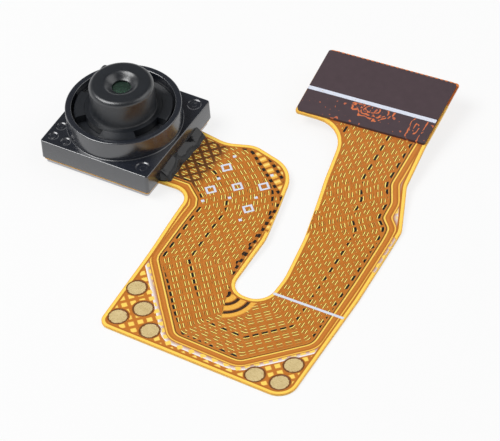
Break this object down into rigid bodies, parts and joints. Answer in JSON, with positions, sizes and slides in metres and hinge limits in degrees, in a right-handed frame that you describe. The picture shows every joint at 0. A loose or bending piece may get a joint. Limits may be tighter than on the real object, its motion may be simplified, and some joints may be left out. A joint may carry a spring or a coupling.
{
  "type": "camera module",
  "caption": "Fixed-focus camera module: a black square lens holder with a round collar and lens nose, on a J-shaped amber flexible circuit with a stiffened contact end.",
  "frame": {"origin": "on the optical axis, at the underside of the steel base plate", "axes": "+Z along the optical axis, out of the lens; +X towards the side where the circuit leaves the head; +Y along the second arm of the circuit, towards its contact end"},
  "size_m": [0.0213, 0.0241, 0.0044],
  "materials": {
    "steel": "satin",
    "grey_glue": "matte",
    "amber_film": "satin",
    "copper": "satin",
    "gold": "gloss",
    "pad_gold": "satin",
    "amber_glue": "matte",
    "dark_film": "satin",
    "white_ink": "matte",
    "silicon": "gloss",
    "tan_ceramic": "matte",
    "filter_glass": "gloss",
    "black_glue": "gloss",
    "holder_black": "satin",
    "barrel_black": "satin",
    "lens_clear": "gloss",
    "shade_black": "matte"
  },
  "bodies": {
    "root": {"base_plate": "steel", "base_plate_glue": "grey_glue", "cover_film_bottom": "amber_film", "copper_bottom": "copper", "core_film": "amber_film", "signal_traces": "copper", "guard_traces": "copper", "corner_mesh": "copper", "board_lands": "gold", "cover_film_top": "amber_film", "test_pads": "pad_gold", "contact_fingers": "gold", "contact_tabs": "copper", "stiffener_glue": "amber_glue", "end_stiffener": "dark_film", "ink_end_line": "white_ink", "ink_arm_line": "white_ink", "ink_marks": "white_ink", "die_glue": "grey_glue", "image_sensor": "silicon", "bond_wires": "gold", "capacitors": "tan_ceramic", "infrared_filter": "filter_glass", "foot_glue": "black_glue", "lens_holder": "holder_black", "lens_barrel": "barrel_black", "front_lens": "lens_clear", "front_shade": "shade_black", "second_lens": "lens_clear", "middle_shade": "shade_black", "third_lens": "lens_clear", "spacer_ring": "shade_black", "rear_lens": "lens_clear", "retaining_ring": "shade_black", "exit_glue_bead": "black_glue"}
  },
  "joints": []
}
